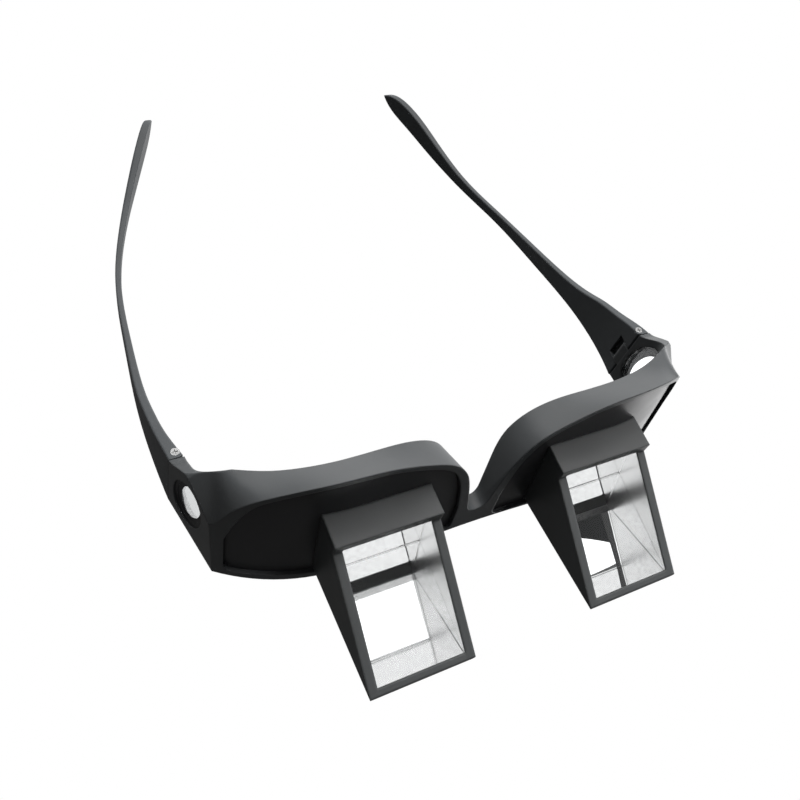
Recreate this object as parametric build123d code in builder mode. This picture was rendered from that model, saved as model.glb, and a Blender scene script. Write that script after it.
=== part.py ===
"""Prism bed glasses: a wrapped front frame with two prism housings, side windows and folding temples.

Millimetres. +Z is up as worn, the front faces -Y and the temples run along +Y. +X is the wearer's left.
The origin is the middle of the nose saddle. Pairs are modelled on the left and mirrored to the right.
"""

from build123d import *
from math import asin, cos, degrees, hypot, radians, sin, tan
import os

os.makedirs("parts", exist_ok=True)

# Front frame, seen from above
front_y = -2.4                # front lip of the rim at the height of the saddle
front_flat_half = 37.5        # half of the flat middle of the front
front_wrap_radius = 55.0      # wrap of the front outside the flat middle
front_half_width = 69.9       # where the front turns back into the wing
front_lean = tan(radians(7.3))  # the front leans forward towards the brow
rim_depth = 10.0              # lip to the back edge of the rim
rim_back_radius = 57.0        # wrap of the rim's back edge
bridge_depth = 4.6            # lip to the back of the web over the nose
bridge_blend = 10.5           # half width over which the web deepens to the rim
wing_corner_radius = 6.0      # inner corner between rim and wing

# Front frame, seen from the front
brow_z = 8.5                  # top of the brow
bridge_top_z = 6.7            # dip of the brow over the nose
rim_drop = 35.3               # saddle to the lowest point of the lip
back_drop = 20.0              # saddle to the rim's lower edge at the back station
front_station_y = 0.0         # where the front outline is drawn
back_station_y = 20.0         # where the back outline is drawn
outline_reach = 16.0          # overrun of the outline solids ahead of the front station
rim_wall = 1.8                # wall outside the panel
nose_wall = 3.0               # the same beside the nose notch
brow_wall = 2.0               # the same under the brow
ledge = 1.2                   # step that the panel rests on
opening_corner = 2.5

# Lower outline at the two stations, as shares of the half width and of the drop, from the saddle outwards
front_outline_shares = (
    (0.0, 0.0), (0.036, 0.035), (0.053, 0.14), (0.072, 0.31), (0.106, 0.54), (0.170, 0.73),
    (0.286, 0.86), (0.458, 0.975), (0.630, 1.0), (0.772, 0.955), (0.880, 0.79), (0.950, 0.52),
    (0.988, 0.25), (1.0, 0.0),
)
back_outline_shares = (
    (0.0, 0.0), (0.050, 0.055), (0.085, 0.23), (0.118, 0.46), (0.155, 0.73), (0.205, 0.94),
    (0.290, 1.04), (0.458, 0.93), (0.630, 0.93), (0.772, 1.035), (0.872, 1.19), (0.938, 1.215),
    (0.985, 1.08), (1.080, 0.74),
)

# Panel
panel_recess = 1.2            # lip of the rim to the panel
panel_thickness = 2.2
panel_gap = 0.15

# Prism housing
prism_spacing = 64.0          # between the middles of the two windows, a usual pupil distance
window_width = 23.8
window_length = 33.4
window_angle = radians(28.5)  # window against the horizontal
window_near_y = -6.5
window_near_z = -15.5
hood_border = 2.45            # window to the outside of the housing, on each side
hood_lip = 3.3                # near edge of the window down to the underside
hood_near_border = 0.4
hood_far_border = 1.95
hood_end_height = 1.05
hood_top_angle = radians(5.0)
hood_draft = radians(3.8)     # fall of the underside towards the panel
hood_roof = 0.7               # at the far end, where it is thinnest
hood_end_wall = 0.9
hood_edge_radius = 0.9
window_lip = 0.4              # frame round the window, under the glass
glass_lap = 0.1               # glass past the window on each side
glass_gap = 0.15
prism_top_angle = radians(1.5)  # mirrored top against the horizontal
eye_plane_y = -3.6            # upright face of the prism, towards the eye
prism_bevel = 0.25            # ground edges of the upright face
mirror_thickness = 0.35
mirror_gap = 0.05
apex_height = 0.15            # blunted far edge of the prism
passage_flare = radians(16.0)  # walls of the passage from the upright face back through the panel

# Wing and side window
wing_flare = 4.15             # outer face of the wing at the hinge, past the half width
wing_inner_step = 0.3         # inner face of the wing, past the half width
seam_y = 29.0                 # joint line between wing and temple
seam_gap = 0.2
wing_low_run = 12.5           # run in front of the joint line over which the wing's lower edge climbs
wing_low_z = -25.0
wing_seam_z = -12.9           # lower edge of the wing and the temple at the joint line
side_recess = 1.3             # outer face of the wing to the side lens
side_lens_thickness = 1.0
side_lens_lap = 0.8           # lens past its opening
side_lens_gap = 0.1
side_window_width = 12.6
side_window_height = 21.6
side_window_place = 9.0       # joint line to the middle of the window
side_window_z = -5.4
side_window_tilt = 16.0       # degrees, the top leans back
side_bore = 7.0               # depth of the side window's cut, through wing and rim

# Lower edge of the wing, as shares of the way to the hinge, along and up
wing_low_shares = (
    (0.0, 0.0), (0.064, 0.094), (0.232, 0.289), (0.368, 0.445), (0.608, 0.672), (0.896, 0.94), (1.0, 1.0),
)

# Hinge
axis_inset = 2.25             # hinge axis to the outer face of the wing
axis_reach = 2.2              # hinge axis to the joint line
hinge_low_z = -12.2
hinge_high_z = 9.3
knuckle_low_z = -5.0
knuckle_high_z = 3.4
knuckle_radius = 1.45
knuckle_gap = 0.15            # above and below the knuckle
knuckle_root = 0.8            # knuckle's web inside the wing
slot_gap = 0.1                # knuckle to the skin outside it
slot_reach = 3.6              # hinge axis to the end of the slot in the temple
screw_radius = 0.7
bore_gap = 0.05
head_radius = 1.1
head_height = 0.9
cross_length = 1.3
cross_width = 0.34
cross_depth = 0.45
nut_radius = 1.0
nut_height = 2.4
screw_tail = 0.3              # screw past the nut

# Temple
temple_reach = 157.6          # saddle to the tip, along Y
temple_inset = 30.0           # how far the tip stands inside the hinge
temple_thickness = 3.85
temple_edge_radius = 0.5

# Temple from above: shares of the length, of the inset and of the thickness
temple_plan_shares = (
    (0.0, 0.0, 1.0), (0.096, -0.018, 0.70), (0.205, -0.012, 0.62), (0.384, 0.065, 0.49),
    (0.579, 0.188, 0.45), (0.774, 0.474, 0.55), (0.891, 0.734, 0.68), (1.0, 0.985, 0.62),
)
# Temple from the side: shares of the length and of the hinge's height, above and below the saddle
temple_top_shares = (
    (0.0, 0.433), (0.096, 0.440), (0.205, 0.460), (0.384, 0.553), (0.579, 0.645), (0.731, 0.628),
    (0.832, 0.452), (0.918, 0.233), (0.975, 0.085), (1.0, -0.045),
)
temple_low_shares = (
    (0.0, -0.600), (0.036, -0.510), (0.094, -0.335), (0.157, -0.170), (0.205, -0.023), (0.384, 0.278),
    (0.579, 0.462), (0.731, 0.430), (0.832, 0.165), (0.918, -0.098), (0.975, -0.135), (1.0, -0.045),
)

# Overrun of cutting solids
over = 2.0
blank_border = 6.0            # blanks past the hinge's outer face
blank_reach = 60.0
turn_over = 9.0               # degrees of wrap that a blank follows past the wing

hood_x = prism_spacing / 2
wrap_width = front_half_width - front_flat_half
corner_y = front_y + front_wrap_radius - (front_wrap_radius**2 - wrap_width**2) ** 0.5
wing_slope = wing_flare / (seam_y - corner_y)
wing_end_x = front_half_width + wing_flare
wing_inner_x = front_half_width + wing_inner_step
wing_low_y = seam_y - wing_low_run
side_window_y = seam_y - side_window_place
axis_x = wing_end_x - axis_inset
axis_y = seam_y + axis_reach
ledge_depth = panel_recess + panel_thickness
outline_back_reach = seam_y + over - back_station_y
blank_width = wing_end_x + blank_border  # half width of the blanks that the outlines cut down
blank_turn = degrees(asin(wrap_width / (front_wrap_radius - ledge_depth))) + turn_over
rim_back_y = front_y + rim_depth
blank_low_z = -rim_drop - over
blank_height = brow_z + over - blank_low_z


def lean_plane(z):
    """Level plane at z, moved so that a plan drawn on it leans with the front."""
    return Plane(origin=(0, -front_lean * z, z))


lean_dir = (0, -front_lean, 1)
lean_height = blank_height * hypot(front_lean, 1)


def station_plane(y):
    """Upright plane at y whose local axes are X and Z."""
    return Plane.XZ.offset(-y)


def outline_points(shares, drop):
    """Points of the lower outline, in X and Z, from its shares."""
    return [(front_half_width * across, -drop * down) for across, down in shares]


def inset_points(points, wall):
    """The outline's points, from the nose notch outwards, moved in by the wall."""
    first = 2
    fade = 4
    moved = []
    for index in range(first, len(points) - 1):
        run = points[index + 1][0] - points[index - 1][0]
        rise = points[index + 1][1] - points[index - 1][1]
        depth = wall + (nose_wall - rim_wall) * max(0, fade + first - index) / fade
        length = hypot(run, rise)
        moved.append((points[index][0] - depth * rise / length, points[index][1] + depth * run / length))
    return moved


def chord_marks(front_row, back_row):
    """Parameters that make two outlines run side by side, from the mean of their chords."""
    marks = [0]
    for index in range(1, len(front_row)):
        steps = [hypot(row[index][0] - row[index - 1][0], row[index][1] - row[index - 1][1])
                 for row in (front_row, back_row)]
        marks.append(marks[-1] + sum(steps) / len(steps))
    return marks


def ahead_of(offset):
    """Solid of all that lies ahead of the front surface moved back by offset, on the left."""
    with BuildPart() as ahead:
        with BuildSketch(lean_plane(blank_low_z)):
            with BuildLine():
                flat = Line((0, front_y + offset), (front_flat_half, front_y + offset))
                wrap_middle = (front_flat_half, front_y + front_wrap_radius)
                wrap = CenterArc(wrap_middle, front_wrap_radius - offset, -90, blank_turn)
                Polyline(wrap @ 1, (blank_width, -blank_reach), (0, -blank_reach), flat @ 0)
            make_face()
        extrude(amount=lean_height, dir=lean_dir)
    return ahead.part


def opening_solid(wall):
    """Solid of the left opening, which follows the frame's outline inside the wall."""
    front_row = inset_points(front_points, wall)
    back_row = inset_points(back_points, wall)
    straight = 2
    back_row[-straight:] = front_row[-straight:]
    marks = chord_marks(front_row, back_row)
    top = brow_z - brow_wall - (wall - rim_wall)
    with BuildPart() as opening:
        sections = []
        for row, y in ((front_row, front_station_y), (back_row, back_station_y)):
            with BuildSketch(station_plane(y)) as section:
                with BuildLine():
                    add(Edge.make_spline(row, parameters=marks))
                    Polyline(row[-1], (row[-1][0], top), (row[0][0], top), row[0])
                make_face()
                fillet(section.vertices().sort_by(Axis.Y)[-2:], radius=opening_corner)
            sections.append(section.sketch)
        loft(ruled=True)
        extrude(sections[0], amount=outline_reach, dir=(0, -1, 0))
        extrude(sections[-1], amount=outline_back_reach, dir=(0, 1, 0))
    return opening.part


front_points = outline_points(front_outline_shares, rim_drop)
back_points = outline_points(back_outline_shares, back_drop)

# Outline of the front frame as a solid, drawn at the front and at the back station
with BuildPart() as outline:
    outline_marks = chord_marks(front_points, back_points)
    outline_sections = []
    for row, y in ((front_points, front_station_y), (back_points, back_station_y)):
        with BuildSketch(station_plane(y)) as section:
            with BuildLine():
                ends = ((1, 0), (0, 1))
                add(Edge.make_spline(row, tangents=ends, parameters=outline_marks, scale=False))
                side = Line(row[-1], (row[-1][0], brow_z))
                flat_brow = Line(side @ 1, (front_flat_half, brow_z))
                dip = Spline(flat_brow @ 1, (0, bridge_top_z), tangents=((-1, 0), (-1, 0)))
                Line(dip @ 1, row[0])
            make_face()
        outline_sections.append(section.sketch)
    loft(ruled=True)
    extrude(outline_sections[0], amount=outline_reach, dir=(0, -1, 0))
    extrude(outline_sections[-1], amount=outline_back_reach, dir=(0, 1, 0))

panel_ahead = ahead_of(panel_recess)
ledge_ahead = ahead_of(ledge_depth)

# Plane of the wing's outer face at the side window, its local X along the wing and its local Y up
side_plane = Plane(
    origin=(front_half_width + (side_window_y - corner_y) * wing_slope, side_window_y, side_window_z),
    x_dir=(wing_slope, 1, 0),
    z_dir=(1, -wing_slope, 0),
)

# Front frame
with BuildPart() as front_frame:
    # Blank between the leaning front, the wing's outer face and the seam
    with BuildSketch(lean_plane(blank_low_z)):
        with BuildLine():
            flat = Line((0, front_y), (front_flat_half, front_y))
            wrap_middle = (front_flat_half, front_y + front_wrap_radius)
            wrap = CenterArc(wrap_middle, front_wrap_radius, -90, blank_turn)
            Polyline(wrap @ 1, (blank_width, blank_reach), (0, blank_reach), flat @ 0)
        make_face()
    extrude(amount=lean_height, dir=lean_dir)
    with BuildSketch(Plane.XY.offset(blank_low_z)):
        with BuildLine():
            Polyline(
                (0, -blank_reach),
                (front_half_width - (corner_y + blank_reach) * wing_slope, -blank_reach),
                (wing_end_x, seam_y),
                (0, seam_y),
                (0, -blank_reach),
            )
        make_face()
    extrude(amount=blank_height, mode=Mode.INTERSECT)
    # Space behind the rim and inside the wing
    with BuildSketch(lean_plane(blank_low_z)) as behind:
        with BuildLine():
            web = Spline(
                (0, front_y + bridge_depth), (bridge_blend, rim_back_y), tangents=((1, 0), (1, 0))
            )
            back = Line(web @ 1, (front_flat_half, rim_back_y))
            turn_middle = (front_flat_half, rim_back_y + rim_back_radius)
            turn = CenterArc(turn_middle, rim_back_radius, -90, blank_turn)
            Polyline(turn @ 1, (blank_width, blank_reach), (0, blank_reach), web @ 0)
        make_face()
        with Locations(((wing_inner_x + blank_width) / 2, 0)):
            Rectangle(blank_width - wing_inner_x, 2 * blank_reach + over, mode=Mode.SUBTRACT)
        corner = behind.vertices().filter_by_position(Axis.Y, 0, seam_y).sort_by(Axis.X)[-1]
        fillet(corner, radius=wing_corner_radius)
    extrude(amount=lean_height, dir=lean_dir, mode=Mode.SUBTRACT)
    add(outline.part, mode=Mode.INTERSECT)
    # Lower edge of the wing
    wing_low_rise = wing_seam_z - wing_low_z
    wing_low_points = [
        (wing_low_y + wing_low_run * along, wing_low_z + wing_low_rise * up) for along, up in wing_low_shares
    ]
    with BuildSketch(Plane.YZ.offset(blank_width)):
        with BuildLine():
            Spline(*wing_low_points)
            Polyline(
                wing_low_points[-1],
                (seam_y + over, wing_seam_z),
                (seam_y + over, blank_low_z),
                (wing_low_y, blank_low_z),
                wing_low_points[0],
            )
        make_face()
    extrude(amount=-(blank_width - front_flat_half), mode=Mode.SUBTRACT)
    # Panel's seat and the opening through the rim
    add(opening_solid(rim_wall).intersect(ledge_ahead), mode=Mode.SUBTRACT)
    add(opening_solid(rim_wall + ledge), mode=Mode.SUBTRACT)
    # Side window and the seat of its lens
    with BuildSketch(side_plane.offset(over)):
        Ellipse(side_window_width / 2, side_window_height / 2, rotation=-side_window_tilt)
    extrude(amount=-side_bore - over, mode=Mode.SUBTRACT)
    with BuildSketch(side_plane.offset(-side_recess)):
        Ellipse(
            side_window_width / 2 + side_lens_lap,
            side_window_height / 2 + side_lens_lap,
            rotation=-side_window_tilt,
        )
    extrude(amount=-side_bore + side_recess, mode=Mode.SUBTRACT)
    # Middle knuckle of the hinge
    with BuildSketch(Plane.XY.offset(knuckle_low_z + knuckle_gap)):
        with Locations((axis_x, axis_y)):
            Circle(knuckle_radius)
        with Locations((axis_x, (axis_y + seam_y - knuckle_root) / 2)):
            Rectangle(2 * knuckle_radius, axis_y - seam_y + knuckle_root)
    extrude(amount=knuckle_high_z - knuckle_low_z - 2 * knuckle_gap)
    with BuildSketch(Plane.XY.offset(knuckle_low_z)):
        with Locations((axis_x, axis_y)):
            Circle(screw_radius + bore_gap)
    extrude(amount=knuckle_high_z - knuckle_low_z, mode=Mode.SUBTRACT)
    mirror(about=Plane.YZ)
front_frame.part.label = "front_frame"
export_step(front_frame.part, "parts/front_frame.step")

# Prism housing from the side: heights of its slanting lines at a given Y
window_run = window_length + hood_far_border
hood_end_y = window_near_y - window_run * cos(window_angle)
hood_end_z = window_near_z + window_run * sin(window_angle)
hood_lip_y = window_near_y - hood_near_border * cos(window_angle)
hood_low_z = window_near_z - hood_lip


def window_z(y, lift):
    """Height of the window's border at y, or of a parallel line lifted above it."""
    return window_near_z + (window_near_y - y) * tan(window_angle) + lift / cos(window_angle)


def roof_z(y):
    """Height of the hood's top at y."""
    return hood_top_z + (y - hood_end_y) * tan(hood_top_angle)


def mirror_z(y, drop):
    """Height at y of a line along the prism's top, dropped below the far end of the hood's top."""
    return hood_top_z + (y - hood_end_y) * tan(prism_top_angle) - drop / cos(prism_top_angle)


def apex_y(lift, drop, height):
    """Y where a line lifted above the border and one along the prism's top stand a height apart."""
    spread = mirror_z(0, drop) - window_z(0, lift) - height
    return -spread / (tan(prism_top_angle) + tan(window_angle))


hood_top_z = hood_end_z + hood_end_height
hood_half = window_width / 2 + hood_border
glass_half = window_width / 2 + glass_lap
cavity_half = glass_half + glass_gap
root_y = front_y + panel_recess + over + brow_z
passage_reach = root_y - eye_plane_y
hood_side = Plane.YZ.offset(hood_x)
glass_drop = hood_roof + glass_gap + mirror_thickness + mirror_gap
eye_low_z = window_z(eye_plane_y, window_lip)
eye_height = mirror_z(eye_plane_y, hood_roof) - eye_low_z
eye_plane = Plane(origin=(hood_x, eye_plane_y, eye_low_z + eye_height / 2), x_dir=(1, 0, 0), z_dir=(0, -1, 0))

# Passage that flares from the prism's upright face back through the panel
with BuildPart() as passage:
    for depth in (0, passage_reach):
        with BuildSketch(eye_plane.offset(-depth)):
            grow = depth * tan(passage_flare)
            Rectangle(2 * (cavity_half + grow), eye_height + 2 * grow)
    loft(ruled=True)

# Panel
with BuildPart() as panel:
    add(opening_solid(rim_wall + panel_gap))
    add(ledge_ahead, mode=Mode.INTERSECT)
    add(panel_ahead, mode=Mode.SUBTRACT)
    add(passage.part, mode=Mode.SUBTRACT)

# Housing
with BuildPart() as hood:
    with BuildSketch(hood_side):
        with BuildLine():
            Polyline(
                (hood_lip_y, hood_low_z),
                (hood_lip_y, window_z(hood_lip_y, 0)),
                (hood_end_y, hood_end_z),
                (hood_end_y, hood_top_z),
                (root_y, roof_z(root_y)),
                (root_y, hood_low_z - (root_y - hood_lip_y) * tan(hood_draft)),
                (hood_lip_y, hood_low_z),
            )
        make_face()
    extrude(amount=hood_half, both=True)
    fillet(hood.faces().sort_by(Axis.Z)[-1].edges().filter_by(Axis.X, reverse=True), radius=hood_edge_radius)
    # Space for the prism
    cavity_tip_y = apex_y(window_lip, hood_roof, 0)
    cavity_end_y = max(cavity_tip_y, hood_end_y + hood_end_wall)
    with BuildSketch(hood_side):
        with BuildLine():
            Polyline(
                (cavity_end_y, window_z(cavity_end_y, window_lip)),
                (cavity_end_y, mirror_z(cavity_end_y, hood_roof)),
                (eye_plane_y, mirror_z(eye_plane_y, hood_roof)),
                (eye_plane_y, window_z(eye_plane_y, window_lip)),
                (cavity_end_y, window_z(cavity_end_y, window_lip)),
            )
        make_face()
    extrude(amount=cavity_half, both=True, mode=Mode.SUBTRACT)
    add(passage.part, mode=Mode.SUBTRACT)
    # Window
    with BuildSketch(
        Plane(
            origin=(
                hood_x,
                window_near_y - over * sin(window_angle),
                window_near_z - over * cos(window_angle),
            ),
            x_dir=(1, 0, 0),
            z_dir=(0, sin(window_angle), cos(window_angle)),
        )
    ):
        with Locations((0, -window_length / 2)):
            Rectangle(window_width, window_length)
    extrude(amount=over + window_lip + glass_gap, mode=Mode.SUBTRACT)
    add(panel_ahead, mode=Mode.INTERSECT)

# Prism
with BuildPart() as prism:
    prism_end_y = apex_y(window_lip, glass_drop, apex_height)
    with BuildSketch(hood_side):
        with BuildLine():
            Polyline(
                (prism_end_y, window_z(prism_end_y, window_lip)),
                (prism_end_y, mirror_z(prism_end_y, glass_drop)),
                (eye_plane_y, mirror_z(eye_plane_y, glass_drop)),
                (eye_plane_y, window_z(eye_plane_y, window_lip)),
                (prism_end_y, window_z(prism_end_y, window_lip)),
            )
        make_face()
    extrude(amount=glass_half, both=True)
    chamfer(prism.faces().sort_by(Axis.Y)[-1].edges(), length=prism_bevel)

# Mirror on the prism's sloping top
with BuildPart() as prism_mirror:
    with BuildSketch(hood_side):
        mirror_low = glass_drop - mirror_gap
        mirror_high = mirror_low - mirror_thickness
        with BuildLine():
            Polyline(
                (prism_end_y, mirror_z(prism_end_y, mirror_low)),
                (prism_end_y, mirror_z(prism_end_y, mirror_high)),
                (eye_plane_y, mirror_z(eye_plane_y, mirror_high)),
                (eye_plane_y, mirror_z(eye_plane_y, mirror_low)),
                (prism_end_y, mirror_z(prism_end_y, mirror_low)),
            )
        make_face()
    extrude(amount=glass_half, both=True)

# Side lens
with BuildPart() as side_lens:
    with BuildSketch(side_plane.offset(-side_recess)):
        lens_grow = side_lens_lap - side_lens_gap
        Ellipse(
            side_window_width / 2 + lens_grow,
            side_window_height / 2 + lens_grow,
            rotation=-side_window_tilt,
        )
    extrude(amount=-side_lens_thickness)

# Temple
temple_y = seam_y + seam_gap
temple_length = temple_reach - temple_y
hinge_height = hinge_high_z - hinge_low_z


def temple_profile(shares):
    """Points of the temple's upper or lower edge, in Y and Z."""
    return [(temple_y + temple_length * along, hinge_height * up) for along, up in shares]


temple_outer = []
temple_inner = []
for along, inward, thick in temple_plan_shares:
    y = temple_y + temple_length * along
    x = wing_end_x - temple_inset * inward
    temple_outer.append((x, y))
    temple_inner.append((x - temple_thickness * thick, y))

base_align = (Align.CENTER, Align.CENTER, Align.MIN)
screw_length = knuckle_high_z + nut_height + screw_tail - hinge_low_z

with BuildPart() as temple:
    with BuildSketch(Plane.XY.offset(wing_seam_z - over)):
        with BuildLine():
            outer = Spline(*temple_outer)
            inner = Spline(*temple_inner)
            Line(outer @ 0, inner @ 0)
            Line(outer @ 1, inner @ 1)
        make_face()
    extrude(amount=hinge_height + temple_reach / 2)
    with BuildSketch(Plane.YZ.offset(wing_end_x + over)):
        with BuildLine():
            top = Spline(*temple_profile(temple_top_shares))
            low = Spline(*temple_profile(temple_low_shares))
            Line(top @ 0, low @ 0)
        make_face()
    extrude(amount=-temple_inset - 2 * temple_thickness, mode=Mode.INTERSECT)
    fillet(temple.edges().filter_by(lambda edge: edge.length > temple_length / 2), radius=temple_edge_radius)
    # Inner front corner of the ears, turned round the hinge axis
    with BuildSketch(Plane.XY.offset(wing_seam_z - over)):
        with BuildLine():
            Polyline(
                (axis_x, axis_y),
                (axis_x, seam_y - over),
                (wing_inner_x - over, seam_y - over),
                (wing_inner_x - over, axis_y),
                (axis_x, axis_y),
            )
        make_face()
        with Locations((axis_x, axis_y)):
            Circle(axis_y - temple_y, mode=Mode.SUBTRACT)
    extrude(amount=hinge_height + 2 * over, mode=Mode.SUBTRACT)
    # Slot for the middle knuckle, open to the inside
    with BuildSketch(Plane.XY.offset(knuckle_low_z)):
        with BuildLine():
            slot_x = axis_x + knuckle_radius + slot_gap
            Polyline(
                (slot_x, seam_y - over),
                (slot_x, axis_y + slot_reach),
                (wing_inner_x - over, axis_y + slot_reach),
                (wing_inner_x - over, seam_y - over),
                (slot_x, seam_y - over),
            )
        make_face()
    extrude(amount=knuckle_high_z - knuckle_low_z, mode=Mode.SUBTRACT)
    # Seats of the screw and the nut
    with Locations((axis_x, axis_y, hinge_low_z)):
        Cylinder(screw_radius + bore_gap, screw_length, align=base_align, mode=Mode.SUBTRACT)
    with Locations((axis_x, axis_y, hinge_low_z - over)):
        Cylinder(head_radius + bore_gap, over + head_height, align=base_align, mode=Mode.SUBTRACT)
    with Locations((axis_x, axis_y, knuckle_high_z)):
        Cylinder(nut_radius + bore_gap, nut_height, align=base_align, mode=Mode.SUBTRACT)

# Hinge screw, head down as worn
with BuildPart() as hinge_screw:
    with Locations((axis_x, axis_y, hinge_low_z)):
        Cylinder(head_radius, head_height, align=base_align)
        Cylinder(screw_radius, screw_length - bore_gap, align=base_align)
        for turn in (0, 90):
            Box(cross_length, cross_width, 2 * cross_depth, rotation=(0, 0, turn), mode=Mode.SUBTRACT)

# Nut in the upper ear
with BuildPart() as hinge_nut:
    with Locations((axis_x, axis_y, knuckle_high_z)):
        Cylinder(nut_radius, nut_height - bore_gap, align=base_align)
        Cylinder(screw_radius + bore_gap, nut_height, align=base_align, mode=Mode.SUBTRACT)

for name, builder in (
    ("panel", panel),
    ("hood", hood),
    ("prism", prism),
    ("prism_mirror", prism_mirror),
    ("side_lens", side_lens),
    ("temple", temple),
    ("hinge_screw", hinge_screw),
    ("hinge_nut", hinge_nut),
):
    other = mirror(builder.part, about=Plane.YZ, mode=Mode.PRIVATE)
    for side, solid in (("left", builder.part), ("right", other)):
        solid.label = f"{side}_{name}"
        export_step(solid, f"parts/{side}_{name}.step")
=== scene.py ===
"""Prism bed glasses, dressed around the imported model.

Metres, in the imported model's frame. +Z is up as worn, the front faces -Y and +X is the wearer's
left.
"""

import logging
from dataclasses import dataclass
from enum import Enum

import bpy
import numpy as np
from mathutils import Matrix, Vector


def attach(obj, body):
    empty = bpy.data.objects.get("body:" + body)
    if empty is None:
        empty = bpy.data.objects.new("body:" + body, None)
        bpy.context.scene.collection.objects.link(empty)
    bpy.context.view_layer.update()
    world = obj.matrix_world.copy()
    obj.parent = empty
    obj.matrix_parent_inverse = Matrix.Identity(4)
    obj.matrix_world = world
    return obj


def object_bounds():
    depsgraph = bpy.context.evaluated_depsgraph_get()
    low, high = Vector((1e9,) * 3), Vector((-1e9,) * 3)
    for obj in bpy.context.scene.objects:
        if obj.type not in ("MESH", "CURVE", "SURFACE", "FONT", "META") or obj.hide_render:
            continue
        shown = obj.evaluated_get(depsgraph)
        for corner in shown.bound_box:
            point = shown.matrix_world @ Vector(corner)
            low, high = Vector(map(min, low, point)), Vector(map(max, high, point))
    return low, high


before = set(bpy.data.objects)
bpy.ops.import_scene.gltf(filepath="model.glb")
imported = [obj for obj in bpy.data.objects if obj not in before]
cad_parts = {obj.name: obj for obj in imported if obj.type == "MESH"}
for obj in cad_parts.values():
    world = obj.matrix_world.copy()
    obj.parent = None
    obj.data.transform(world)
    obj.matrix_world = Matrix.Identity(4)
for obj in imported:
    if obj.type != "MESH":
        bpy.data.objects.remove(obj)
CAD_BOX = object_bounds()

LOG = logging.getLogger("prism_bed_glasses")
MM = 0.001
WHITE = (1.0, 1.0, 1.0, 1.0)


class Side(Enum):
    """The wearer's side of a pair, with the sign of its X."""

    LEFT = 1
    RIGHT = -1

    @property
    def word(self) -> str:
        """The side as the nodes' names spell it."""
        return self.name.lower()


@dataclass(frozen=True)
class Plastic:
    """A moulded plastic finish: its colour, its gloss, the grain of its skin and a painted
    highlight on its edges.
    """

    name: str
    colour: tuple[float, float, float]
    roughness: float
    specular: float
    grain_size: float
    grain_depth: float
    mottle: float
    edge_radius: float
    # Painted highlight: the share by which the colour is lifted along rounded edges.
    painted_edge_highlight: float


@dataclass(frozen=True)
class Glass:
    """A clear part: its tint and index, its smears and the roughness of its ground sides."""

    name: str
    tint: tuple[float, float, float]
    index: float
    smear: float
    smear_size: float
    ground: float


@dataclass(frozen=True)
class Metal:
    """A turned or silvered metal finish."""

    name: str
    colour: tuple[float, float, float]
    roughness: float
    line_size: float
    line_depth: float


SHELL = Plastic(
    name="shell_plastic",
    colour=(0.032, 0.035, 0.037),
    roughness=0.38,
    specular=0.85,
    grain_size=0.25 * MM,
    grain_depth=0.0022 * MM,
    mottle=0.08,
    edge_radius=0.60 * MM,
    painted_edge_highlight=0.25,
)
TEMPLE = Plastic(
    name="temple_plastic",
    colour=(0.044, 0.048, 0.051),
    roughness=0.44,
    specular=0.45,
    grain_size=0.25 * MM,
    grain_depth=0.0020 * MM,
    mottle=0.08,
    edge_radius=0.40 * MM,
    painted_edge_highlight=0.20,
)
HOOD = Plastic(
    name="hood_plastic",
    colour=(0.036, 0.039, 0.040),
    roughness=0.42,
    specular=0.85,
    grain_size=0.25 * MM,
    grain_depth=0.0020 * MM,
    mottle=0.08,
    edge_radius=0.90 * MM,
    painted_edge_highlight=0.25,
)
PANEL = Plastic(
    name="panel_plastic",
    colour=(0.022, 0.022, 0.024),
    roughness=0.34,
    specular=0.45,
    grain_size=0.50 * MM,
    grain_depth=0.0008 * MM,
    mottle=0.06,
    edge_radius=0.20 * MM,
    painted_edge_highlight=0.15,
)
BEZEL = Plastic(
    name="bezel_plastic",
    colour=(0.012, 0.012, 0.013),
    roughness=0.42,
    specular=0.50,
    grain_size=0.25 * MM,
    grain_depth=0.0020 * MM,
    mottle=0.08,
    edge_radius=0.15 * MM,
    painted_edge_highlight=0.60,
)
PRISM = Glass(
    name="prism_acrylic",
    tint=(0.985, 0.990, 0.988),
    index=1.49,
    smear=0.02,
    smear_size=9.0 * MM,
    ground=0.28,
)
LENS = Glass(
    name="side_lens_clear",
    tint=(0.930, 0.945, 0.950),
    index=1.49,
    smear=0.03,
    smear_size=6.0 * MM,
    ground=0.0,
)
SILVER = Metal(
    name="prism_silvering",
    colour=(0.930, 0.935, 0.940),
    roughness=0.015,
    line_size=4.0 * MM,
    line_depth=0.0,
)
STEEL = Metal(
    name="screw_steel",
    colour=(0.720, 0.720, 0.715),
    roughness=0.22,
    line_size=0.10 * MM,
    line_depth=0.010 * MM,
)
BRASS = Metal(
    name="nut_brass",
    colour=(0.700, 0.540, 0.280),
    roughness=0.30,
    line_size=0.12 * MM,
    line_depth=0.010 * MM,
)


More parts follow.
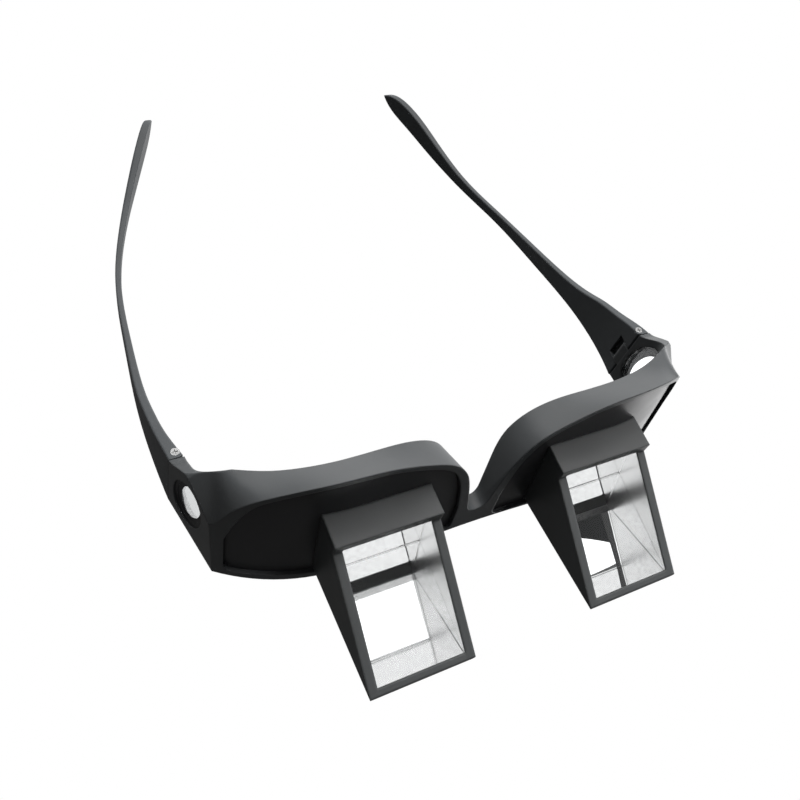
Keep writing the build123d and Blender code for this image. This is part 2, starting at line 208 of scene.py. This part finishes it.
class Wiring:
    """Short ways to add and join shader nodes in one node tree."""

    def __init__(self, tree: bpy.types.NodeTree) -> None:
        """Works on one tree.

        Args:
            tree: The node tree of a material, a world or a group.
        """
        self.tree = tree

    def add(self, kind: str, **settings: object) -> bpy.types.Node:
        """Adds a node.

        Args:
            kind: The node's type name, without its ShaderNode part.
            settings: Properties to set on it.

        Returns:
            The new node.
        """
        node = self.tree.nodes.new("ShaderNode" + kind)
        for key, value in settings.items():
            setattr(node, key, value)
        return node

    def feed(self, node: bpy.types.Node, **inputs: object) -> bpy.types.Node:
        """Sets or links a node's inputs by name, with _ for a space.

        Args:
            node: The node to feed.
            inputs: Plain values, or sockets to link from.

        Returns:
            The same node.
        """
        for key, value in inputs.items():
            self._set(node.inputs[key.replace("_", " ")], value)
        return node

    def maths(self, operation: str, *values: object) -> bpy.types.NodeSocket:
        """Adds a Math node.

        Args:
            operation: The node's operation.
            values: Numbers or sockets, in order.

        Returns:
            Its value socket.
        """
        return self.in_order(self.add("Math", operation=operation), values).outputs[0]

    def vector(self, operation: str, *values: object) -> bpy.types.Node:
        """Adds a Vector Math node.

        Args:
            operation: The node's operation.
            values: Vectors or sockets, in order.

        Returns:
            The node.
        """
        return self.in_order(self.add("VectorMath", operation=operation), values)

    def in_order(self, node: bpy.types.Node, values: tuple) -> bpy.types.Node:
        """Sets or links a node's inputs in their own order.

        Args:
            node: The node to feed.
            values: Plain values, or sockets to link from.

        Returns:
            The same node.
        """
        for socket, value in zip(node.inputs, values):
            self._set(socket, value)
        return node

    def _set(self, socket: bpy.types.NodeSocket, value: object) -> None:
        """Links a socket where the value is a socket, and otherwise sets it.

        Args:
            socket: The socket to fill.
            value: A plain value, or a socket to link from.
        """
        if isinstance(value, bpy.types.NodeSocket):
            self.tree.links.new(value, socket)
        else:
            socket.default_value = value

    def remap(
        self, value: bpy.types.NodeSocket, low: float, high: float, to_low: object, to_high: object
    ) -> bpy.types.NodeSocket:
        """Maps a value from one range to another, clamped.

        Args:
            value: The socket to read.
            low: Start of the range read.
            high: End of the range read.
            to_low: Result at the start, a number or a socket.
            to_high: Result at the end, a number or a socket.

        Returns:
            The result's socket.
        """
        node = self.add("MapRange", clamp=True)
        self.feed(node, Value=value, From_Min=low, From_Max=high, To_Min=to_low, To_Max=to_high)
        return node.outputs["Result"]


class Groups:
    """Shader node groups that several finishes share."""

    NOISE_LOW: float = 0.3
    NOISE_HIGH: float = 0.7
    PATCH_SCALE: float = 55.0
    PATCH_DULLING: float = 0.05
    FLAT_EDGE: float = 0.99
    SHARP_EDGE: float = 0.80
    CLOUD_FROM: float = 0.56
    CLOUD_FULL: float = 0.74
    CLOUD_STRETCH: tuple[float, float, float] = (1.0, 2.2, 0.7)
    CLOUD_TURN: tuple[float, float, float] = (0.4, 0.2, 0.7)
    SIDEWAYS_FROM: float = 0.55
    SIDEWAYS_FULL: float = 0.65
    LINE_STRETCH: tuple[float, float, float] = (0.15, 0.15, 1.0)
    LINE_DULLING: tuple[float, float] = (-0.04, 0.06)
    SPOT_SCALE: float = 900.0
    SPOT_SHADE: tuple[float, float] = (0.88, 1.06)

    def __init__(self) -> None:
        """Builds every group once."""
        self.skin = self._skin()
        self.smear = self._smear()
        self.turned = self._turned()

    def _noise_remap(
        self, wire: Wiring, value: bpy.types.NodeSocket, low: object, high: object
    ) -> bpy.types.NodeSocket:
        """Maps the part of a noise that is used to a range.

        Args:
            wire: The group's wiring.
            value: The noise's socket.
            low: Result at the noise's low end, a number or a socket.
            high: Result at its high end, a number or a socket.

        Returns:
            The result's socket.
        """
        return wire.remap(value, self.NOISE_LOW, self.NOISE_HIGH, low, high)

    @staticmethod
    def _new(
        name: str, inputs: dict[str, tuple[str, object]], outputs: dict[str, str]
    ) -> tuple[bpy.types.NodeTree, Wiring, bpy.types.Node, bpy.types.Node]:
        """Makes an empty group with its sockets.

        Args:
            name: The group's name.
            inputs: Socket kind and default by socket name.
            outputs: Socket kind by socket name.

        Returns:
            The group, its wiring, its input node and its output node.
        """
        group = bpy.data.node_groups.new(name, "ShaderNodeTree")
        sockets = group.interface
        for label, (kind, default) in inputs.items():
            socket = sockets.new_socket(name=label, in_out="INPUT", socket_type="NodeSocket" + kind)
            socket.default_value = default
        for label, kind in outputs.items():
            sockets.new_socket(name=label, in_out="OUTPUT", socket_type="NodeSocket" + kind)
        source = group.nodes.new("NodeGroupInput")
        sink = group.nodes.new("NodeGroupOutput")
        return group, Wiring(group), source, sink

    def _skin(self) -> bpy.types.NodeTree:
        """Moulded skin: fine grain, slow patches of colour, and soft edges with a painted
        highlight, a paler line of colour along them.

        Returns:
            The group.
        """
        group, wire, source, sink = self._new(
            "moulded_skin",
            {
                "Colour": ("Color", (0.1, 0.1, 0.1, 1.0)),
                "Roughness": ("Float", 0.5),
                "Grain Scale": ("Float", 3000.0),
                "Grain Depth": ("Float", 0.00001),
                "Mottle": ("Float", 0.1),
                "Edge Radius": ("Float", 0.0005),
                "Edge Lift": ("Float", 0.3),
            },
            {"Colour": "Color", "Roughness": "Float", "Normal": "Vector"},
        )
        given = source.outputs
        place = wire.add("TexCoord").outputs["Object"]
        grain = wire.feed(
            wire.add("TexNoise", noise_dimensions="3D"),
            Vector=place,
            Scale=given["Grain Scale"],
            Detail=2.0,
            Roughness=0.6,
        )
        patches = wire.feed(
            wire.add("TexNoise"),
            Vector=place,
            Scale=self.PATCH_SCALE,
            Detail=4.0,
            Roughness=0.55,
        )
        soft = wire.feed(wire.add("Bevel", samples=6), Radius=given["Edge Radius"])
        face = wire.add("NewGeometry").outputs["Normal"]
        bent = wire.vector("DOT_PRODUCT", soft.outputs["Normal"], face).outputs["Value"]
        edge = wire.remap(bent, self.FLAT_EDGE, self.SHARP_EDGE, 0.0, 1.0)
        low = wire.maths("SUBTRACT", 1.0, given["Mottle"])
        high = wire.maths("ADD", 1.0, given["Mottle"])
        shade = self._noise_remap(wire, patches.outputs["Fac"], low, high)
        # Painted highlight: the colour is lifted along rounded edges, where the bevel's normal
        # turns away from the face's, on top of the random patches of tone.
        mottle_and_highlight = wire.maths("MULTIPLY_ADD", edge, given["Edge Lift"], shade)
        tinted = wire.add("VectorMath", operation="SCALE")
        wire.feed(tinted, Vector=given["Colour"], Scale=mottle_and_highlight)
        dull = self._noise_remap(
            wire, patches.outputs["Fac"], -self.PATCH_DULLING, self.PATCH_DULLING
        )
        rough = wire.maths("ADD", given["Roughness"], dull)
        bump = wire.feed(
            wire.add("Bump"),
            Height=grain.outputs["Fac"],
            Distance=given["Grain Depth"],
            Normal=soft.outputs["Normal"],
            Strength=1.0,
        )
        wire.feed(
            sink,
            Colour=tinted.outputs["Vector"],
            Roughness=rough,
            Normal=bump.outputs["Normal"],
        )
        return group

    def _smear(self) -> bpy.types.NodeTree:
        """Handling marks on glass, as stretched clouds of roughness, and satin-ground side faces.

        Returns:
            The group.
        """
        group, wire, source, sink = self._new(
            "glass_smear",
            {"Scale": ("Float", 100.0), "Amount": ("Float", 0.02), "Ground": ("Float", 0.0)},
            {"Roughness": "Float"},
        )
        place = wire.add("TexCoord").outputs["Object"]
        face = wire.feed(
            wire.add("SeparateXYZ"), Vector=wire.add("NewGeometry").outputs["True Normal"]
        )
        sideways = wire.maths("ABSOLUTE", face.outputs["X"])
        ground = wire.remap(
            sideways, self.SIDEWAYS_FROM, self.SIDEWAYS_FULL, 0.0, source.outputs["Ground"]
        )
        stretched = wire.feed(
            wire.add("Mapping"), Vector=place, Scale=self.CLOUD_STRETCH, Rotation=self.CLOUD_TURN
        )
        cloud = wire.feed(
            wire.add("TexNoise"),
            Vector=stretched.outputs["Vector"],
            Scale=source.outputs["Scale"],
            Detail=5.0,
            Roughness=0.6,
            Distortion=1.2,
        )
        mark = wire.remap(
            cloud.outputs["Fac"], self.CLOUD_FROM, self.CLOUD_FULL, 0.0, source.outputs["Amount"]
        )
        wire.feed(sink, Roughness=wire.maths("ADD", mark, ground))
        return group

    def _turned(self) -> bpy.types.NodeTree:
        """Fine tool marks on metal: a noise stretched flat, as colour, roughness and height.

        Returns:
            The group.
        """
        group, wire, source, sink = self._new(
            "turned_metal",
            {
                "Colour": ("Color", (0.7, 0.7, 0.7, 1.0)),
                "Roughness": ("Float", 0.2),
                "Scale": ("Float", 8000.0),
                "Depth": ("Float", 0.00001),
            },
            {"Colour": "Color", "Roughness": "Float", "Normal": "Vector"},
        )
        given = source.outputs
        place = wire.add("TexCoord").outputs["Object"]
        flat = wire.feed(wire.add("Mapping"), Vector=place, Scale=self.LINE_STRETCH)
        lines = wire.feed(
            wire.add("TexNoise"), Vector=flat.outputs["Vector"], Scale=given["Scale"], Detail=2.0
        )
        spots = wire.feed(wire.add("TexNoise"), Vector=place, Scale=self.SPOT_SCALE, Detail=3.0)
        shade = self._noise_remap(wire, spots.outputs["Fac"], *self.SPOT_SHADE)
        tinted = wire.add("VectorMath", operation="SCALE")
        wire.feed(tinted, Vector=given["Colour"], Scale=shade)
        dull = self._noise_remap(wire, lines.outputs["Fac"], *self.LINE_DULLING)
        rough = wire.maths("ADD", given["Roughness"], dull)
        bump = wire.feed(
            wire.add("Bump"), Height=lines.outputs["Fac"], Distance=given["Depth"], Strength=1.0
        )
        wire.feed(
            sink,
            Colour=tinted.outputs["Vector"],
            Roughness=rough,
            Normal=bump.outputs["Normal"],
        )
        return group


class Workshop:
    """Makes each finish into a material, once."""

    def __init__(self) -> None:
        """Builds the shared groups."""
        self.groups = Groups()
        self.made: dict[str, bpy.types.Material] = {}

    def _start(self, name: str) -> tuple[bpy.types.Material, Wiring, bpy.types.Node]:
        """Opens a new material.

        Args:
            name: The material's name.

        Returns:
            The material, its wiring and its Principled shader.
        """
        material = bpy.data.materials.new(name)
        material.use_nodes = True
        self.made[name] = material
        return material, Wiring(material.node_tree), material.node_tree.nodes["Principled BSDF"]

    @staticmethod
    def _group(wire: Wiring, group: bpy.types.NodeTree, **inputs: object) -> bpy.types.Node:
        """Places a group in a material.

        Args:
            wire: The material's wiring.
            group: The group.
            inputs: Its inputs, with _ for a space.

        Returns:
            The group's node.
        """
        return wire.feed(wire.add("Group", node_tree=group), **inputs)

    def plastic(self, finish: Plastic) -> bpy.types.Material:
        """A moulded plastic.

        Args:
            finish: Its colour, gloss and grain.

        Returns:
            The material.
        """
        if finish.name in self.made:
            return self.made[finish.name]
        material, wire, shader = self._start(finish.name)
        skin = self._group(
            wire,
            self.groups.skin,
            Colour=(*finish.colour, 1.0),
            Roughness=finish.roughness,
            Grain_Scale=1.0 / finish.grain_size,
            Grain_Depth=finish.grain_depth,
            Mottle=finish.mottle,
            Edge_Radius=finish.edge_radius,
            # Painted highlight along the rounded edges.
            Edge_Lift=finish.painted_edge_highlight,
        )
        wire.feed(
            shader,
            Base_Color=skin.outputs["Colour"],
            Roughness=skin.outputs["Roughness"],
            Normal=skin.outputs["Normal"],
            Specular_IOR_Level=finish.specular,
        )
        return material

    def glass(self, finish: Glass) -> bpy.types.Material:
        """A clear polished part.

        Args:
            finish: Its tint, index and marks.

        Returns:
            The material.
        """
        if finish.name in self.made:
            return self.made[finish.name]
        material, wire, shader = self._start(finish.name)
        smear = self._group(
            wire,
            self.groups.smear,
            Scale=1.0 / finish.smear_size,
            Amount=finish.smear,
            Ground=finish.ground,
        )
        wire.feed(
            shader,
            Base_Color=(*finish.tint, 1.0),
            Roughness=smear.outputs["Roughness"],
            IOR=finish.index,
            Transmission_Weight=1.0,
        )
        return material

    def metal(self, finish: Metal) -> bpy.types.Material:
        """A bright metal.

        Args:
            finish: Its colour and tool marks.

        Returns:
            The material.
        """
        if finish.name in self.made:
            return self.made[finish.name]
        material, wire, shader = self._start(finish.name)
        marks = self._group(
            wire,
            self.groups.turned,
            Colour=(*finish.colour, 1.0),
            Roughness=finish.roughness,
            Scale=1.0 / finish.line_size,
            Depth=finish.line_depth,
        )
        wire.feed(
            shader,
            Base_Color=marks.outputs["Colour"],
            Roughness=marks.outputs["Roughness"],
            Normal=marks.outputs["Normal"],
            Metallic=1.0,
        )
        return material


def dress(node: str, material: bpy.types.Material) -> None:
    """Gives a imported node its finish.

    Args:
        node: The node's name.
        material: The finish.
    """
    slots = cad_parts[node].data.materials
    slots.clear()
    slots.append(material)
    LOG.info("dressed %s in %s", node, material.name)


def closed_ring(
    name: str, points: np.ndarray, body: str, material: bpy.types.Material
) -> None:
    """Makes a piece from a closed profile carried round a closed path.

    Point (i, j) of the grid joins (i + 1, j), (i + 1, j + 1) and (i, j + 1), and both counts wrap.
    The sum of a . (b x c) over its triangles is six times its volume. Where that is below zero,
    the faces are turned round.

    Args:
        name: The piece's name.
        points: Array of path by profile by 3, in metres.
        body: The body that it rides.
        material: The finish.
    """
    steps, sides, _ = points.shape
    index = np.arange(steps * sides).reshape(steps, sides)
    along = np.roll(index, -1, axis=0)
    corners = [index, along, np.roll(along, -1, axis=1), np.roll(index, -1, axis=1)]
    quads = np.stack(corners, axis=-1).reshape(-1, 4)
    flat = points.reshape(-1, 3)
    halves = np.concatenate([quads[:, :3], quads[:, [0, 2, 3]]])
    first, second, third = flat[halves[:, 0]], flat[halves[:, 1]], flat[halves[:, 2]]
    if np.einsum("ij,ij->", first, np.cross(second, third)) < 0:
        quads = quads[:, ::-1]
    mesh = bpy.data.meshes.new(name)
    mesh.from_pydata(flat.tolist(), [], quads.tolist())
    mesh.materials.append(material)
    piece = bpy.data.objects.new(name, mesh)
    bpy.context.scene.collection.objects.link(piece)
    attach(piece, body)
    LOG.info("made %s with %d faces", name, len(quads))


@dataclass
class SideBezel:
    """The dark funnel that lines a side window, from the wing's outer face down to its lens.

    Lengths are in millimetres and the tilt in degrees. The slope is the wing's change of X over
    Y there. Each pair of the profile is an inset from the window's edge and a depth below the
    wing's outer face.
    """

    side: Side
    middle: tuple[float, float, float] = (72.2581, 20.0, -5.4)
    slope: float = 0.1991
    half_width: float = 6.3
    half_height: float = 10.8
    tilt: float = 16.0
    profile: tuple[tuple[float, float], ...] = (
        (0.06, 0.45),
        (0.55, 0.62),
        (0.95, 0.66),
        (1.05, 0.92),
        (1.70, 1.02),
        (2.30, 1.10),
        (2.30, 1.25),
        (0.06, 1.25),
    )
    steps: int = 120

    def points(self) -> np.ndarray:
        """Carries the profile round the window's ellipse.

        At the turn t, a point of the profile with inset p lies at ((a - p) cos t, (b - p) sin t)
        from the middle, turned back by the tilt, on the wing's outer face, and is then moved
        inwards by its depth along that face's normal.

        Returns:
            Array of turn by profile by 3, in metres.
        """
        turn = np.linspace(0.0, 2.0 * np.pi, self.steps, endpoint=False)[:, None]
        inset, depth = np.array(self.profile).T[:, None, :]
        across = (self.half_width - inset) * np.cos(turn)
        height = (self.half_height - inset) * np.sin(turn)
        lean = np.radians(-self.tilt)
        along = across * np.cos(lean) - height * np.sin(lean)
        upward = across * np.sin(lean) + height * np.cos(lean)
        length = np.hypot(self.slope, 1.0)
        face_x = np.array((self.slope, 1.0, 0.0)) / length
        face_z = np.array((1.0, -self.slope, 0.0)) / length
        up = np.array((0.0, 0.0, 1.0))
        place = np.array(self.middle) + along[..., None] * face_x + upward[..., None] * up
        place = place - depth[..., None] * face_z
        place[..., 0] *= self.side.value
        return place * MM

    def build(self, shop: Workshop) -> None:
        """Makes the funnel.

        Args:
            shop: Where finishes are made.
        """
        name = f"{self.side.word}_side_bezel"
        closed_ring(name, self.points(), "front", shop.plastic(BEZEL))


@dataclass
class FrontFrame:
    """The wrapped frame that carries both panels."""

    finish: Plastic = SHELL

    def build(self, shop: Workshop) -> None:
        """Dresses the frame.

        Args:
            shop: Where finishes are made.
        """
        dress("front_frame", shop.plastic(self.finish))


@dataclass
class PrismUnit:
    """One eye's panel, housing, prism, silvering and side lens."""

    side: Side

    def build(self, shop: Workshop) -> None:
        """Dresses the unit's nodes.

        Args:
            shop: Where finishes are made.
        """
        word = self.side.word
        dress(f"{word}_panel", shop.plastic(PANEL))
        dress(f"{word}_hood", shop.plastic(HOOD))
        dress(f"{word}_prism", shop.glass(PRISM))
        dress(f"{word}_prism_mirror", shop.metal(SILVER))
        dress(f"{word}_side_lens", shop.glass(LENS))


@dataclass
class TempleUnit:
    """One temple with its hinge hardware."""

    side: Side

    def build(self, shop: Workshop) -> None:
        """Dresses the temple, its screw and its nut.

        Args:
            shop: Where finishes are made.
        """
        word = self.side.word
        dress(f"{word}_temple", shop.plastic(TEMPLE))
        dress(f"{word}_hinge_screw", shop.metal(STEEL))
        dress(f"{word}_hinge_nut", shop.metal(BRASS))


@dataclass(frozen=True)
class Lamp:
    """A square lamp that faces the object, with lengths in metres and its power in watts."""

    name: str
    toward: Vector
    distance: float
    size: float
    power: float


@dataclass
class Studio:
    """Camera, floor, world and lamps."""

    eye: tuple[float, float, float] = (0.10155, -0.06559, -0.19833)
    right: tuple[float, float, float] = (-0.8879, -0.4020, -0.2235)
    up: tuple[float, float, float] = (-0.2361, 0.8153, -0.5286)
    back: tuple[float, float, float] = (0.3948, -0.4166, -0.8189)
    lens: float = 38.25
    sensor: float = 36.0
    clip_start: float = 0.01
    floor_half: float = 4.0
    floor_gap: float = 0.1 * MM
    floor_colour: tuple[float, float, float] = (0.86, 0.86, 0.86)
    floor_glow: float = 0.55
    dim: float = 0.05
    bright: float = 0.45
    dim_height: float = -0.1
    bright_height: float = 1.0
    sheen: float = 0.08

    def build(self) -> None:
        """Places everything that isn't the object."""
        self._camera()
        self._floor()
        self._world()
        for lamp in self._lamps():
            self._hang(lamp)

    def _lamps(self) -> list[Lamp]:
        """The lamps of the photograph's light, the strongest first.

        Returns:
            The lamps.
        """
        return [
            Lamp(
                name="key",
                toward=self._toward(up=1.00, back=0.30, right=0.05),
                distance=0.85,
                size=0.60,
                power=10.0,
            ),
            Lamp(
                name="side",
                toward=self._toward(up=0.80, back=0.60, right=0.80),
                distance=0.85,
                size=0.60,
                power=9.0,
            ),
            Lamp(
                name="flank",
                toward=Vector((-0.92, -0.1, 0.38)),
                distance=0.90,
                size=0.80,
                power=3.5,
            ),
            Lamp(
                name="rear_top",
                toward=Vector((-0.55, 0.75, 0.45)),
                distance=0.90,
                size=0.80,
                power=1.5,
            ),
        ]

    def _toward(self, up: float, back: float, right: float) -> Vector:
        """A direction in the photograph's terms.

        Args:
            up: Share of the picture's up.
            back: Share of the way to the camera.
            right: Share of the picture's right.

        Returns:
            The direction in the model's frame, of length one.
        """
        mix = up * Vector(self.up) + back * Vector(self.back) + right * Vector(self.right)
        return mix.normalized()

    def _camera(self) -> None:
        """Stands the camera where the photograph was taken."""
        data = bpy.data.cameras.new("camera")
        data.lens = self.lens
        data.sensor_width = self.sensor
        data.clip_start = self.clip_start
        camera = bpy.data.objects.new("camera", data)
        turn = Matrix((self.right, self.up, self.back)).transposed().to_4x4()
        camera.matrix_world = Matrix.Translation(self.eye) @ turn
        bpy.context.scene.collection.objects.link(camera)
        bpy.context.scene.camera = camera

    def _floor(self) -> None:
        """Lays a pale floor, which is clear from below, where the camera looks through it.

        From above it is white to glass, faint to glossy rays and paler than its paint to a camera.
        """
        low = CAD_BOX[0][2] - self.floor_gap
        half = self.floor_half
        mesh = bpy.data.meshes.new("floor")
        corners = [(-half, -half, low), (half, -half, low), (half, half, low), (-half, half, low)]
        mesh.from_pydata(corners, [], [(0, 1, 2, 3)])
        floor = bpy.data.objects.new("floor", mesh)
        bpy.context.scene.collection.objects.link(floor)
        material = bpy.data.materials.new("floor_paint")
        material.use_nodes = True
        tree = material.node_tree
        tree.nodes.clear()
        wire = Wiring(tree)
        paint = wire.feed(wire.add("BsdfDiffuse"), Color=(*self.floor_colour, 1.0))
        clear = wire.add("BsdfTransparent")
        behind = wire.add("NewGeometry").outputs["Backfacing"]
        path = wire.add("LightPath")
        below = wire.maths("MAXIMUM", behind, path.outputs["Is Shadow Ray"])
        shown = wire.feed(wire.add("Emission"), Color=WHITE, Strength=1.0)
        mirrored = wire.maths("MULTIPLY", path.outputs["Is Glossy Ray"], self.sheen)
        seen = wire.maths("MULTIPLY", path.outputs["Is Camera Ray"], self.floor_glow)
        through = wire.maths("MAXIMUM", path.outputs["Is Transmission Ray"], mirrored)
        white = wire.maths("MAXIMUM", through, seen)
        lit = wire.add("MixShader")
        wire.in_order(lit, (white, paint.outputs[0], shown.outputs[0]))
        mix = wire.add("MixShader")
        wire.in_order(mix, (below, lit.outputs[0], clear.outputs[0]))
        wire.feed(wire.add("OutputMaterial"), Surface=mix.outputs[0])
        mesh.materials.append(material)

    def _world(self) -> None:
        """Sets a surround that is white to the camera and to glass.

        To all other rays it falls off from the picture's top, with a least value for glossy ones.
        """
        world = bpy.data.worlds.new("studio")
        bpy.context.scene.world = world
        world.use_nodes = True
        tree = world.node_tree
        tree.nodes.clear()
        wire = Wiring(tree)
        place = wire.add("TexCoord").outputs["Generated"]
        height = wire.vector("DOT_PRODUCT", place, self.up).outputs["Value"]
        level = wire.remap(height, self.dim_height, self.bright_height, self.dim, self.bright)
        path = wire.add("LightPath")
        seen = wire.maths(
            "MAXIMUM", path.outputs["Is Camera Ray"], path.outputs["Is Transmission Ray"]
        )
        mirrored = wire.maths("MULTIPLY", path.outputs["Is Glossy Ray"], self.sheen)
        strength = wire.maths("MAXIMUM", wire.maths("MAXIMUM", level, seen), mirrored)
        back = wire.feed(wire.add("Background"), Color=WHITE, Strength=strength)
        wire.feed(wire.add("OutputWorld"), Surface=back.outputs[0])

    @staticmethod
    def _hang(lamp: Lamp) -> None:
        """Hangs a lamp.

        Args:
            lamp: The lamp, with its place.
        """
        data = bpy.data.lights.new(lamp.name, "AREA")
        data.shape = "SQUARE"
        data.size = lamp.size
        data.energy = lamp.power
        piece = bpy.data.objects.new(lamp.name, data)
        place = Matrix.Translation(lamp.toward.normalized() * lamp.distance)
        piece.matrix_world = place @ lamp.toward.to_track_quat("Z", "Y").to_matrix().to_4x4()
        bpy.context.scene.collection.objects.link(piece)


def main() -> None:
    """Builds the scene."""
    logging.basicConfig(level=logging.INFO)
    shop = Workshop()
    FrontFrame().build(shop)
    for side in Side:
        SideBezel(side).build(shop)
        PrismUnit(side).build(shop)
        TempleUnit(side).build(shop)
    Studio().build()
    bpy.context.scene.view_settings.view_transform = "Standard"


if __name__ == "__main__":
    main()
